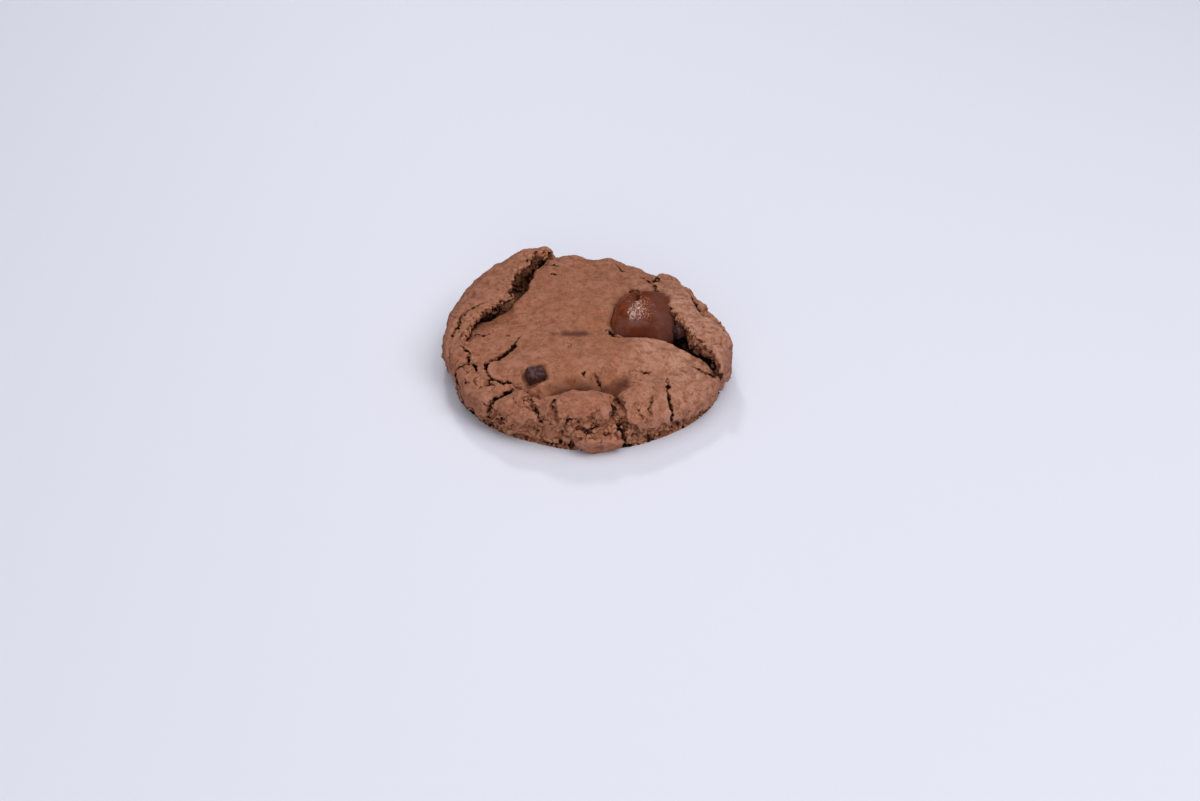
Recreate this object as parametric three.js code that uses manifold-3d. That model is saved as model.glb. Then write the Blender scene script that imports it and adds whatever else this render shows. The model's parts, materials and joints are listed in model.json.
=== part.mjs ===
// A thick, craggy chocolate cookie with a sunken middle, two raised flaps of crust, a folded front
// and deep cracks. A large glossy chocolate chunk and two smaller chips sit in the crust.
// Millimetres, +Z up, origin at the middle of the base. The folded front faces -Y.
import * as THREE from "three";
import { mergeVertices } from "three/addons/utils/BufferGeometryUtils.js";
import { ImprovedNoise } from "three/addons/math/ImprovedNoise.js";
import Module from "manifold-3d";

const wasm = await Module();
wasm.setup();
const noise = new ImprovedNoise();

// Driving sizes of the baked dough.
const WIDTH = 85;
const RIM_RADIUS = WIDTH / 2;
const WIDEST_HEIGHT = 6.4;
const MIDDLE_HEIGHT = 14.9;
const BASE_INSET = 2.0;
const CRUMB_RECESS = 1.1;

// Values keyed by the angle round the cookie, in degrees from +X towards +Y (the back).
const OUTLINE = [[0, 1.0], [14, 0.965], [35, 0.945], [60, 0.96], [76, 0.985], [88, 0.97], [104, 0.99],
  [122, 1.02], [140, 1.02], [160, 1.01], [182, 1.0], [194, 0.975], [206, 1.0], [225, 0.995], [250, 0.97],
  [270, 0.98], [300, 0.98], [335, 1.005]];
const TOP_HEIGHT = [[0, 14.2], [58, 14.8], [66, 14.8], [76, 16.4], [88, 15.8], [104, 16.4], [130, 15.2],
  [180, 13.4], [215, 13.2], [250, 14.0], [270, 14.2], [315, 13.8]];
const CORNER_POWER = [[0, 3.2], [60, 4.0], [90, 4.4], [150, 3.4], [190, 3.2], [225, 3.4], [270, 3.6], [310, 2.8]];
const CRUST_EDGE_HEIGHT = [[0, 3.8], [60, 4.6], [120, 5.0], [180, 4.0], [212, 5.0], [236, 8.6], [252, 9.6],
  [266, 10.0], [274, 11.4], [280, 11.6], [286, 9.2], [293, 6.2], [310, 5.0], [340, 4.0]];

// Raised flaps of crust left standing where the middle sank. Each lip is keyed by angle.
const BACK_FLAP = {
  start: 105,
  end: 196,
  startFade: 6,
  endFade: 14,
  lipRadius: [[105, 39.6], [108, 38], [115, 34.5], [124, 31], [142, 25.8], [150, 25.6], [157, 23.4],
    [168, 26.4], [178, 28.8], [186, 34], [196, 38]],
  lipHeight: [[105, 17.2], [115, 18.7], [142, 18.8], [157, 18.2], [168, 17.6], [178, 16.8], [186, 15.2], [196, 12]],
  fall: [[105, 0.42], [125, 0.5], [150, 0.66], [196, 0.72]],
  gap: [[105, 0.4], [112, 1.5], [126, 2.2], [142, 1.8], [150, 0.6], [158, 0.4], [167, 1.3], [178, 1.0], [188, 0.4]],
  undercut: 3.8,
};
const RIGHT_FLAP = {
  start: -22,
  end: 57,
  startFade: 7,
  endFade: 5,
  lipRadius: [[-22, 41], [-18, 37.6], [-13, 33.4], [-5, 29.8], [3, 27], [17, 24.8], [33, 25.6], [45, 29], [57, 35]],
  lipHeight: [[-22, 10], [-18, 14.2], [-13, 16.2], [-5, 16.8], [17, 17.2], [33, 16.9], [45, 16.3], [57, 15.2]],
  fall: [[-22, 0.7], [2, 0.7], [20, 0.9], [40, 0.8], [57, 0.6]],
  gap: [[-22, 0.6], [-15, 1.8], [-5, 2.0], [12, 2.0], [30, 1.4], [45, 0.7], [57, 0.3]],
  undercut: 3.6,
};
const FLAPS = [BACK_FLAP, RIGHT_FLAP];
const GAP_DIP = 1.1;
const GAP_DIP_REACH = 5;
const GAP_ROOT_SHARE = 0.5;
const THINNEST_LIP = 1.4;
const LIP_RAGGEDNESS = 0.8;

// The crease across the front, where the middle slumped on to the front roll: plan places and depths.
const FRONT_CREASE = {
  path: [[-21, -24], [-16, -28], [-11, -31], [-6.6, -28.8], [-1.6, -27.2], [5, -27.8], [9, -27.6],
    [13, -26], [17, -23.8], [23, -23.4]],
  depth: [0.4, 2.2, 2.0, 3.0, 3.2, 3.2, 3.0, 2.2, 1.2, 0.1],
  innerReach: 5.5,
  outerReach: 1.9,
};
// Swellings of the crust: middle, radius and height.
const SWELLINGS = [
  { at: [-1, -19, 14.8], radius: 9, height: 1.1 },
  { at: [-14, -17, 14.5], radius: 8, height: 0.9 },
  { at: [17, -11, 14.5], radius: 7, height: 0.8 },
  { at: [-3, -34, 12.5], radius: 6, height: 1.3 },
  { at: [16, -28, 12], radius: 5.5, height: 1.6 },
  { at: [-37, -8.5, 10.5], radius: 3.6, height: 2.2 },
  { at: [-26, -17, 13], radius: 5, height: 0.8 },
  { at: [-20, -31, 11], radius: 5, height: 0.8 },
  { at: [3, -39, 4], radius: 5.5, height: 1.2 },
  { at: [-16, 6, 15], radius: 13, height: -0.6 },
];
const CRAG_SIZE = 4.4;
const CRAG_DEPTH = 1.7;
const WAVE_SIZE = 10;
const WAVE_DEPTH = 0.5;

// Deep cracks: places along the crust, widest gape, and depth.
const CRACKS = [
  { path: [[-21.5, -6, 14.4], [-25.5, -11.2, 13.8], [-29.9, -13.9, 13], [-32.7, -16, 12.2], [-32.6, -20, 11.6],
    [-31.2, -23.4, 10.8]], gape: 2.0, depth: 4.2 },
  { path: [[-38.9, -1.6, 11], [-36.5, -3.2, 12], [-33.2, -6.7, 12.4], [-32.6, -10, 12.4], [-34, -13, 11.6],
    [-39.4, -14.2, 8]], gape: 1.6, depth: 3, ends: [0.15, 0.8] },
  { path: [[-24, -20.6, 12.8], [-27, -25, 11.4], [-28.8, -27, 10], [-30.6, -29, 6]], gape: 2.2, depth: 3.8,
    ends: [0.3, 0.8] },
  { path: [[-16, -28.6, 12.6], [-14.8, -34.6, 12], [-13.4, -37.6, 10.6], [-11, -40, 8.6]], gape: 1.4, depth: 2.4,
    ends: [0.6, 0.8] },
  { path: [[3.8, -19.6, 15], [5.2, -23, 14.2], [5.8, -26, 13], [7.4, -28.6, 12.4]], gape: 1.4, depth: 2.6,
    ends: [0.1, 0.8] },
  { path: [[7.2, -27, 12.6], [8.2, -31, 12.8], [9.4, -35, 11.6], [10.6, -40, 8]], gape: 1.9, depth: 3.6,
    ends: [0.6, 0.8] },
  { path: [[21, -17.6, 14.4], [22, -21.6, 13.6], [23.2, -26, 11.8], [24.4, -30, 9.4], [25.8, -33, 4.6]],
    gape: 1.7, depth: 3.4, ends: [0.1, 0.9] },
  { path: [[19.8, -28.6, 12], [18.6, -32.4, 10], [17.4, -36, 5.6]], gape: 1.2, depth: 2.2, ends: [0.1, 0.8] },
  { path: [[22, -6, 13.6], [28.6, -7.4, 13.8], [32.6, -9.6, 13.4], [36, -12.6, 12], [40, -17, 8.4]],
    gape: 3.2, depth: 4.4, ends: [0.5, 0.7] },
  { path: [[29.6, 22, 13.4], [32.6, 15.8, 13.6], [35.4, 8.2, 13], [37.6, 4.4, 12.2], [40.6, 2, 9.6]],
    gape: 1.7, depth: 2.6, ends: [0.7, 0.3] },
  { path: [[-33, -5, 13], [-30, -3.8, 13.6], [-27.6, -3.2, 14], [-24.4, -1.6, 14.4]], gape: 0.9, depth: 1.8 },
];
const CRACK_STEP = 1.3;
const CRACK_WANDER = 0.9;
const BLADE_STAND_OFF = 3;

// Chocolate: middle, half sizes, turns about X, Y and Z in degrees, and corner power of each piece.
const FIT_GAP = 0.35;
const CHUNK = {
  at: [15.6, 4.4, 11.6],
  half: [9.8, 12.6, 6.2],
  turn: [4, -2, -4],
  power: 2.4,
  groove: { x: -0.8, end: 3, width: 1.5, depth: 1.1 },
};
const FRONT_CHIP = { at: [-15.6, -23, 11.9], half: [2.7, 3.0, 2.4], turn: [24, 6, 24], power: 3.4 };
const RIGHT_CHIP = { at: [27.4, -2.0, 13.8], half: [1.9, 2.1, 1.9], turn: [10, 20, 35], power: 3.2 };

// Mesh density.
const SEGMENTS = 96;
const TOP_RINGS = 30;
const SIDE_RINGS = 8;
const FLAP_RINGS = { plateau: 13, floor: 3, underside: 3, face: 2 };
const CHUNK_SEGMENTS = [28, 18];
const CHIP_SEGMENTS = [14, 9];
const SHORTEST_EDGE = 0.02;

const { lerp, smoothstep, degToRad, radToDeg } = THREE.MathUtils;

// A value between keys, eased from each to the next; a closed list wraps round at 360 degrees.
function keyed(keys, angle, closed = false) {
  const first = keys[0];
  const last = keys.at(-1);
  const list = closed ? [[last[0] - 360, last[1]], ...keys, [first[0] + 360, first[1]]] : keys;
  const next = list.findIndex((key) => key[0] > angle);
  if (next < 0) return last[1];
  if (next === 0) return first[1];
  const [a0, v0] = list[next - 1];
  const [a1, v1] = list[next];
  return lerp(v0, v1, smoothstep(angle, a0, a1));
}

const around = (keys, angle) => keyed(keys, ((angle % 360) + 360) % 360, true);
const rimRadius = (angle) => RIM_RADIUS * around(OUTLINE, angle);

// The flap that stands at an angle, with how far it is open there, from 0 to 1.
function flapAt(angle) {
  for (const flap of FLAPS) {
    for (const a of [angle, angle - 360]) {
      if (a > flap.start && a < flap.end) {
        const opened = smoothstep(a, flap.start, flap.start + flap.startFade);
        const closing = smoothstep(a, flap.end - flap.endFade, flap.end);
        return { flap, angle: a, open: opened * (1 - closing) };
      }
    }
  }
  return null;
}

// Height of the sunken crust at a distance from the axis.
function crustHeight(angle, radius) {
  const share = Math.min(radius / rimRadius(angle), 1);
  const power = around(CORNER_POWER, angle);
  const top = lerp(MIDDLE_HEIGHT, around(TOP_HEIGHT, angle), smoothstep(share, 0.2, 0.9));
  return WIDEST_HEIGHT + (top - WIDEST_HEIGHT) * (1 - share ** power) ** (1 / power);
}

// A point of the sunken crust's profile, from 0 at the middle of the top to 1 at the widest part.
function crustPoint(angle, share) {
  const turn = (share ** 1.25 * Math.PI) / 2;
  const power = around(CORNER_POWER, angle);
  const reach = (Math.sin(turn) ** power + Math.cos(turn) ** power) ** (-1 / power);
  const radius = rimRadius(angle) * Math.sin(turn) * reach;
  return [radius, crustHeight(angle, radius)];
}

// A point of the profile where a flap stands: over the sunken middle, into the gap, back along the
// flap's underside, up its broken lip and out over its top.
function flapPoint({ flap, angle }, ring) {
  const rim = rimRadius(angle);
  const rag = LIP_RAGGEDNESS * noise.noise(angle / 3.1, flap.undercut * 7, 0.5);
  const lip = Math.min(keyed(flap.lipRadius, angle) + rag, rim - 1);
  const height = keyed(flap.lipHeight, angle) + rag * 0.4;
  const root = Math.min(lip + flap.undercut, rim - 0.6);
  const gap = keyed(flap.gap, angle);
  const floorHeight = (r) => {
    const plain = crustHeight(angle, r);
    const dip = Math.max(GAP_DIP, plain - height + gap + THINNEST_LIP);
    return plain - dip * smoothstep(r, lip - GAP_DIP_REACH, lip);
  };
  const underLip = floorHeight(lip) + gap;
  const { plateau, floor, underside, face } = FLAP_RINGS;
  if (ring <= plateau + floor) {
    const r = ring <= plateau ? (lip * ring) / plateau : lerp(lip, root, (ring - plateau) / floor);
    return [r, floorHeight(r)];
  }
  const beneath = (ring - plateau - floor) / underside;
  if (beneath <= 1) {
    const rootHeight = floorHeight(root) + GAP_ROOT_SHARE * gap;
    return [lerp(root, lip + 0.5, beneath), lerp(rootHeight, underLip, beneath ** 0.6)];
  }
  const up = (ring - plateau - floor - underside) / face;
  if (up <= 1) {
    const bulge = 0.35 * Math.sin(Math.PI * up);
    return [lip + 0.5 - bulge, lerp(underLip, height, up)];
  }
  const over = (ring - plateau - floor - underside - face) / (TOP_RINGS - plateau - floor - underside - face);
  const power = keyed(flap.fall, angle);
  const out = Math.sin((over * Math.PI) / 2) ** power;
  const down = Math.cos((over * Math.PI) / 2) ** power;
  return [lerp(lip + 0.5, rim, out), lerp(WIDEST_HEIGHT, height, down)];
}

// A place on the plain dough by angle and ring, before its relief.
function doughPoint(angle, ring) {
  let radius;
  let height;
  if (ring <= TOP_RINGS) {
    [radius, height] = crustPoint(angle, ring / TOP_RINGS);
    const found = flapAt(angle);
    if (found) {
      const folded = flapPoint(found, ring);
      radius = lerp(radius, folded[0], found.open);
      height = lerp(height, folded[1], found.open);
    }
  } else {
    const down = (ring - TOP_RINGS) / SIDE_RINGS;
    radius = rimRadius(angle) - BASE_INSET * down ** 2.5;
    height = WIDEST_HEIGHT * (1 - down);
  }
  const turn = degToRad(angle);
  return new THREE.Vector3(radius * Math.cos(turn), radius * Math.sin(turn), height);
}

// Depth of the front crease at a plan place: soft on the side of the middle, abrupt on the roll's.
function creaseDepth(x, y) {
  const { path, depth, innerReach, outerReach } = FRONT_CREASE;
  const next = path.findIndex((point) => point[0] > x);
  if (next < 1) return 0;
  const t = (x - path[next - 1][0]) / (path[next][0] - path[next - 1][0]);
  const behind = y - lerp(path[next - 1][1], path[next][1], t);
  const reach = behind > 0 ? innerReach : outerReach;
  return lerp(depth[next - 1], depth[next], t) * (1 - smoothstep(Math.abs(behind), 0, reach));
}

// How far the surface lies under the crust's ragged lower edge: 0 on the crust, 1 on bare crumb.
function crumbShare(point) {
  const angle = radToDeg(Math.atan2(point.y, point.x));
  const ragged = 0.9 * noise.noise(angle / 4, 2.5, 8.1);
  const edge = around(CRUST_EDGE_HEIGHT, angle) + ragged;
  const outer = smoothstep(Math.hypot(point.x, point.y), 30, 34);
  return outer * smoothstep(edge - point.z, -0.3, 0.8);
}

// Movement of the surface along its normal: swellings, waves, the front crease and crumbly crags.
function relief(point, normal) {
  let out = WAVE_DEPTH * noise.noise(point.x / WAVE_SIZE, point.y / WAVE_SIZE, point.z / WAVE_SIZE + 3.7);
  for (const { at, radius, height } of SWELLINGS) {
    const away = point.distanceToSquared(new THREE.Vector3(...at)) / radius ** 2;
    out += height * Math.exp(-away);
  }
  if (normal.z > 0.2) out -= creaseDepth(point.x, point.y);
  const crumb = crumbShare(point);
  const crag = noise.noise(point.x / CRAG_SIZE, point.y / CRAG_SIZE, point.z / CRAG_SIZE);
  out += (0.25 + 0.75 * crumb) * CRAG_DEPTH * crag * smoothstep(Math.hypot(point.x, point.y), 33, 38);
  return out - CRUMB_RECESS * crumb;
}

// A closed ball whose rings run from the middle of the top to the middle of the base.
function doughGeometry() {
  const rings = TOP_RINGS + SIDE_RINGS + 1;
  const ball = new THREE.SphereGeometry(1, SEGMENTS, rings);
  const place = ball.attributes.position;
  for (let ring = 0; ring <= rings; ring++) {
    for (let segment = 0; segment <= SEGMENTS; segment++) {
      const angle = (360 * (segment % SEGMENTS)) / SEGMENTS;
      const point = ring < rings ? doughPoint(angle, ring) : new THREE.Vector3();
      place.setXYZ(ring * (SEGMENTS + 1) + segment, point.x, point.y, point.z);
    }
  }
  const dough = welded(ball);
  dough.computeVertexNormals();
  const { position, normal } = dough.attributes;
  for (let i = 0; i < position.count; i++) {
    const point = new THREE.Vector3().fromBufferAttribute(position, i);
    const outwards = new THREE.Vector3().fromBufferAttribute(normal, i);
    if (point.z < 0.01) continue;
    point.addScaledVector(outwards, relief(point, outwards));
    point.z = Math.max(point.z, 0.3);
    position.setXYZ(i, point.x, point.y, point.z);
  }
  return dough;
}

// The geometry's places alone, with the vertices along its seams joined.
function welded(geometry) {
  const bare = new THREE.BufferGeometry();
  bare.setAttribute("position", geometry.attributes.position.clone());
  bare.setIndex(geometry.index);
  return mergeVertices(bare, 1e-3);
}

// Outward direction of the crust at a plan place: up on the top, leaning out on the shoulder.
function crustNormal(x, y) {
  const radius = Math.hypot(x, y);
  const lean = 1.4 * smoothstep(radius / rimRadius(radToDeg(Math.atan2(y, x))), 0.72, 1.0);
  return new THREE.Vector3((x / radius) * lean, (y / radius) * lean, 1).normalize();
}

// A tapering, wandering wedge that cuts one crack: a three-sided bar laid along the crack's path.
function crackBlade({ path, gape, depth, ends = [0.15, 0.15] }, number) {
  const curve = new THREE.CatmullRomCurve3(path.map((place) => new THREE.Vector3(...place)));
  const steps = Math.ceil(curve.getLength() / CRACK_STEP);
  const bar = new THREE.CylinderGeometry(1, 1, 1, 3, steps);
  const position = bar.attributes.position;
  for (let i = 0; i < position.count; i++) {
    const along = position.getY(i) + 0.5;
    const place = curve.getPointAt(along);
    const up = crustNormal(place.x, place.y);
    const side = up.clone().cross(curve.getTangentAt(along)).normalize();
    const opening = lerp(ends[0], 1, smoothstep(along, 0, 0.4));
    const closing = lerp(ends[1], 1, smoothstep(1 - along, 0, 0.4));
    const open = opening * closing;
    const wander = CRACK_WANDER * noise.noise(along * steps * 0.55, number * 3.3, 1.7);
    const width = 1 + 0.5 * noise.noise(along * steps * 0.8, number * 5.1, 6.2);
    const deep = depth * open;
    const flare = (BLADE_STAND_OFF + deep) / deep;
    const atCap = position.getX(i) === 0 && position.getZ(i) === 0;
    const atTip = position.getZ(i) > 0.4;
    const across = atTip || atCap ? 0 : Math.sign(position.getX(i)) * (gape / 2) * open * flare * width;
    const rise = atCap ? 0 : atTip ? -deep : BLADE_STAND_OFF;
    place.addScaledVector(side, across + wander).addScaledVector(up, rise);
    position.setXYZ(i, place.x, place.y, place.z);
  }
  return welded(bar);
}

// A rounded block of chocolate, swollen like a superellipsoid, with an optional groove on its top.
function chocolateGeometry({ half, power, groove }, segments, grow = 0) {
  const ball = new THREE.SphereGeometry(1, ...segments);
  const position = ball.attributes.position;
  for (let i = 0; i < position.count; i++) {
    const p = new THREE.Vector3(position.getX(i), -position.getZ(i), position.getY(i));
    const size = Math.abs(p.x) ** power + Math.abs(p.y) ** power + Math.abs(p.z) ** power;
    p.divideScalar(size ** (1 / power));
    p.multiply(new THREE.Vector3(half[0] + grow, half[1] + grow, half[2] + grow));
    if (groove && grow === 0 && p.z > 0) {
      const away = Math.abs(p.x - groove.x) / groove.width;
      p.z -= groove.depth * smoothstep(p.y, groove.end, groove.end + 3) * (1 - smoothstep(away, 0, 1));
    }
    position.setXYZ(i, p.x, p.y, p.z);
  }
  return welded(ball);
}

function placement({ at, turn }) {
  const spin = new THREE.Quaternion().setFromEuler(new THREE.Euler(...turn.map(degToRad)));
  return new THREE.Matrix4().compose(new THREE.Vector3(...at), spin, new THREE.Vector3(1, 1, 1));
}

// A welded geometry as a solid that can be cut.
function solidOf(geometry) {
  const mesh = new wasm.Mesh({
    numProp: 3,
    vertProperties: new Float32Array(geometry.attributes.position.array),
    triVerts: new Uint32Array(geometry.index.array),
  });
  return new wasm.Manifold(mesh);
}

// A cut solid as a geometry again.
function geometryOf(solid) {
  const mesh = solid.getMesh();
  const geometry = new THREE.BufferGeometry();
  geometry.setAttribute("position", new THREE.BufferAttribute(new Float32Array(mesh.vertProperties), 3));
  geometry.setIndex(new THREE.BufferAttribute(new Uint32Array(mesh.triVerts), 1));
  geometry.computeVertexNormals();
  return geometry;
}

const CHOCOLATE = [
  { name: "chocolate_chunk", shape: CHUNK, segments: CHUNK_SEGMENTS, colour: 0x5a2a1a, roughness: 0.25 },
  { name: "front_chip", shape: FRONT_CHIP, segments: CHIP_SEGMENTS, colour: 0x35211f, roughness: 0.45 },
  { name: "right_chip", shape: RIGHT_CHIP, segments: CHIP_SEGMENTS, colour: 0x3a2422, roughness: 0.45 },
];

// The dough, cut by its cracks and by a seat for each piece of chocolate.
function cookieGeometry() {
  let dough = solidOf(doughGeometry());
  CRACKS.forEach((crack, number) => {
    dough = dough.subtract(solidOf(crackBlade(crack, number)));
  });
  for (const { shape, segments } of CHOCOLATE) {
    const seat = chocolateGeometry(shape, segments, FIT_GAP).applyMatrix4(placement(shape));
    dough = dough.subtract(solidOf(seat));
  }
  const bodies = dough.decompose().sort((a, b) => b.volume() - a.volume());
  return geometryOf(bodies[0].simplify(SHORTEST_EDGE));
}

const cookie = new THREE.Group();
const crust = new THREE.MeshStandardMaterial({ color: 0x8a5a44, roughness: 0.9, metalness: 0 });
const dough = new THREE.Mesh(cookieGeometry(), crust);
dough.name = "cookie";
cookie.add(dough);
for (const { name, shape, segments, colour, roughness } of CHOCOLATE) {
  const material = new THREE.MeshStandardMaterial({ color: colour, roughness, metalness: 0 });
  const piece = new THREE.Mesh(chocolateGeometry(shape, segments), material);
  piece.geometry.computeVertexNormals();
  piece.name = name;
  piece.applyMatrix4(placement(shape));
  cookie.add(piece);
}

// The middle of the box's base is the origin.
const box = new THREE.Box3().setFromObject(cookie, true);
const middle = box.getCenter(new THREE.Vector3());
cookie.position.set(-middle.x, -middle.y, -box.min.z);

const model = new THREE.Group();
model.add(cookie);
export default model;
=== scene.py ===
import json
import bpy
import numpy as np
from mathutils import Euler, Matrix, Vector, noise
from mathutils.bvhtree import BVHTree

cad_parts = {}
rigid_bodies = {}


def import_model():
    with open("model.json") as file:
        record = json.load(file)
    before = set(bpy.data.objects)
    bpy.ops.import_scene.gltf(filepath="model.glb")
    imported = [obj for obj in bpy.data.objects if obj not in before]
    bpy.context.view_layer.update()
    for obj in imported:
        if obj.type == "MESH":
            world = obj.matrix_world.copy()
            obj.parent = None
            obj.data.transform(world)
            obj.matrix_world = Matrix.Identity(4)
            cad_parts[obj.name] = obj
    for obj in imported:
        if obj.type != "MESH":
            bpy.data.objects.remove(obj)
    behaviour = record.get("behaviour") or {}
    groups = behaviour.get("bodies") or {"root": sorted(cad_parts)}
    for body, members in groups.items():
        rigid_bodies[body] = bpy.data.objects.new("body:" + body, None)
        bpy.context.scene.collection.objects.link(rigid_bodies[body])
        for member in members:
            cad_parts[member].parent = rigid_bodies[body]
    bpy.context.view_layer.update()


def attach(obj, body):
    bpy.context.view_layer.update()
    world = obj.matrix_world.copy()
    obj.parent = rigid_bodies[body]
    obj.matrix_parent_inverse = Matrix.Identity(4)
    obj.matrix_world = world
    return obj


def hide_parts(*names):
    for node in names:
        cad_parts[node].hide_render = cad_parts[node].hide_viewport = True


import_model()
scene = bpy.context.scene
mm = 0.001
print("stage: frame loaded")


def ease(x, a, b):
    t = np.clip((x - a) / (b - a), 0, 1)
    return t * t * (3 - 2 * t)


# a value between keys, eased from one to the next
def keyed(keys, x):
    at, value = np.array(keys, float).T
    i = np.clip(np.searchsorted(at, x, side="right") - 1, 0, len(at) - 2)
    return value[i] + (value[i + 1] - value[i]) * ease(x, at[i], at[i + 1])


# the same for keys that go all round the cookie
def around(keys, angle):
    first, last = keys[0], keys[-1]
    return keyed([(last[0] - 360, last[1]), *keys, (first[0] + 360, first[1])], angle % 360)


def polar(p):
    return np.degrees(np.arctan2(p[:, 1], p[:, 0])), np.hypot(p[:, 0], p[:, 1])


def noiseAt(points, size, shift=0.0, basis="PERLIN_ORIGINAL"):
    return np.array([noise.noise(p, noise_basis=basis) for p in (points / size + shift).tolist()])


def lineNoise(x, shift):
    return np.array([noise.noise((v, shift, 0.37)) for v in x.tolist()])


# noises added up, each with its height, size and shift
def layered(points, layers):
    return sum(height * noiseAt(points, size, shift) for height, size, shift in layers)


# places swayed by noises, each with its reach, its size and a shift for each axis
def swayed(points, noises):
    out = points.copy()
    for reach, size, shifts in noises:
        for axis, shift in enumerate(shifts):
            out[:, axis] += reach * noiseAt(points, size, shift)
    return out


# 1 on the skin of an oval lump, more outside it
def lumpShare(p, lump):
    return (((p - lump["at"]) / lump["size"]) ** 2).sum(1)


def readPlaces(mesh):
    co = np.empty(len(mesh.vertices) * 3)
    mesh.vertices.foreach_get("co", co)
    return co.reshape(-1, 3)


def readNormals(mesh):
    n = np.empty(len(mesh.vertices) * 3)
    mesh.vertex_normals.foreach_get("vector", n)
    return n.reshape(-1, 3)


def writePlaces(mesh, co):
    mesh.vertices.foreach_set("co", np.ascontiguousarray(co).ravel())
    mesh.update()


def readMask(mesh, name):
    v = np.empty(len(mesh.vertices))
    mesh.attributes[name].data.foreach_get("value", v)
    return v


def writeMask(mesh, name, v):
    a = mesh.attributes.get(name) or mesh.attributes.new(name, "FLOAT", "POINT")
    a.data.foreach_set("value", np.clip(v, 0, 1).astype(np.float32))


def remesh(o, voxel):
    o.data.remesh_voxel_size = voxel
    o.data.remesh_voxel_adaptivity = 0
    o.data.use_remesh_preserve_attributes = True
    bpy.ops.object.voxel_remesh()


# all in millimetres, angles in degrees from +X towards the back
dough = {
    "rimRadius": 42.5, "widestHeight": 6.4, "middleHeight": 14.9, "baseInset": 2.0,
    "shift": (0.012, 0.310, 0),          # the frame's origin is the middle of the box
    "outline": [(0, 1.0), (14, 0.965), (35, 0.945), (60, 0.96), (76, 0.985), (88, 0.97), (104, 0.99),
                (122, 1.02), (140, 1.02), (160, 1.01), (182, 1.0), (194, 0.975), (206, 1.0), (225, 0.995),
                (250, 0.97), (270, 0.98), (300, 0.98), (335, 1.005)],
    "topHeight": [(0, 14.2), (58, 14.8), (66, 14.8), (76, 16.4), (88, 15.8), (104, 16.4), (130, 15.2),
                  (180, 13.4), (215, 13.2), (250, 14.0), (270, 14.2), (315, 13.8)],
    "cornerPower": [(0, 3.2), (60, 4.0), (90, 4.4), (150, 3.4), (190, 3.2), (225, 3.4), (270, 3.6),
                    (310, 2.8)],
    "segments": 520, "ringSteps": 5,
    "voxel": 0.27, "quickVoxel": 0.45,
    "mostTriangles": 190000,
    "seed": 11,
}
# numbered from the middle of the top, out under a flap and back over it, then down to the base
rings = {"plateau": 13, "floor": 16, "underside": 19, "face": 21, "top": 30, "side": 38, "base": 39}


# share of the way from one named ring to another
def between(ring, first, last):
    return np.clip((ring - rings[first]) / (rings[last] - rings[first]), 0, 1)


def rimAt(angle):
    return dough["rimRadius"] * around(dough["outline"], angle)


def crustHeight(angle, radius):
    share = np.minimum(radius / rimAt(angle), 1)
    power = around(dough["cornerPower"], angle)
    middle, widest = dough["middleHeight"], dough["widestHeight"]
    top = middle + (around(dough["topHeight"], angle) - middle) * ease(share, 0.2, 0.9)
    return widest + (top - widest) * (1 - share ** power) ** (1 / power)


def crustProfile(angle, share):
    turn = np.clip(share, 0, 1) ** 1.25 * np.pi / 2
    power = around(dough["cornerPower"], angle)
    reach = (np.sin(turn) ** power + np.abs(np.cos(turn)) ** power) ** (-1 / power)
    radius = rimAt(angle) * np.sin(turn) * reach
    return radius, crustHeight(angle, radius)


backFlap = {
    "start": 104, "end": 198, "startFade": 5, "endFade": 12, "noise": 2.1,
    "undercut": [(104, 1), (112, 5.5), (182, 5.5), (192, 1.5), (198, 0.8)],
    "lipRadius": [(104, 40), (108, 39.2), (113.7, 37.9), (118.5, 36.2), (123, 33), (128.6, 31.5), (135, 30.1),
                  (143, 27.9), (149, 26.2), (153.6, 23.9), (160, 22.6), (164, 24.5), (166, 26.6), (172, 29.2),
                  (178, 31.4), (184, 34), (190, 37), (198, 39)],
    "lipHeight": [(104, 16.4), (112, 17.6), (118, 18.7), (145, 18.8), (155, 18.4), (168, 17.9), (178, 17.2),
                  (186, 15.4), (198, 11.5)],
    "fall": [(104, 0.42), (125, 0.5), (150, 0.66), (198, 0.72)],
    "brink": [(-9, 39.5), (-11.5, 37.5), (-13.7, 34.7), (-14.9, 33.5), (-16, 30), (-17.1, 26), (-17.8, 22.1),
              (-18.5, 18.8), (-20.9, 14.6), (-23.2, 10.6), (-25.5, 8), (-27.9, 5.9), (-30.7, 3.9), (-32.4, 3),
              (-34.5, 1.8), (-37, 0)],
    "depth": [(104, 1.0), (111, 3.5), (118, 5.5), (128, 7.0), (136, 7.0), (142, 5.2), (148, 2.4), (155, 1.0),
              (161, 2.0), (165, 5.4), (173, 5.2), (178, 2.8), (184, 1.2), (190, 0.6)],
    "gap": [(104, 0.8), (111, 4.6), (117, 8), (122, 10), (138, 10), (143, 8), (149, 2.2), (155, 0.4),
            (160, 2.0), (164, 9), (172, 8.4), (177, 4.2), (181, 1.4), (190, 0.4)],
}
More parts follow.
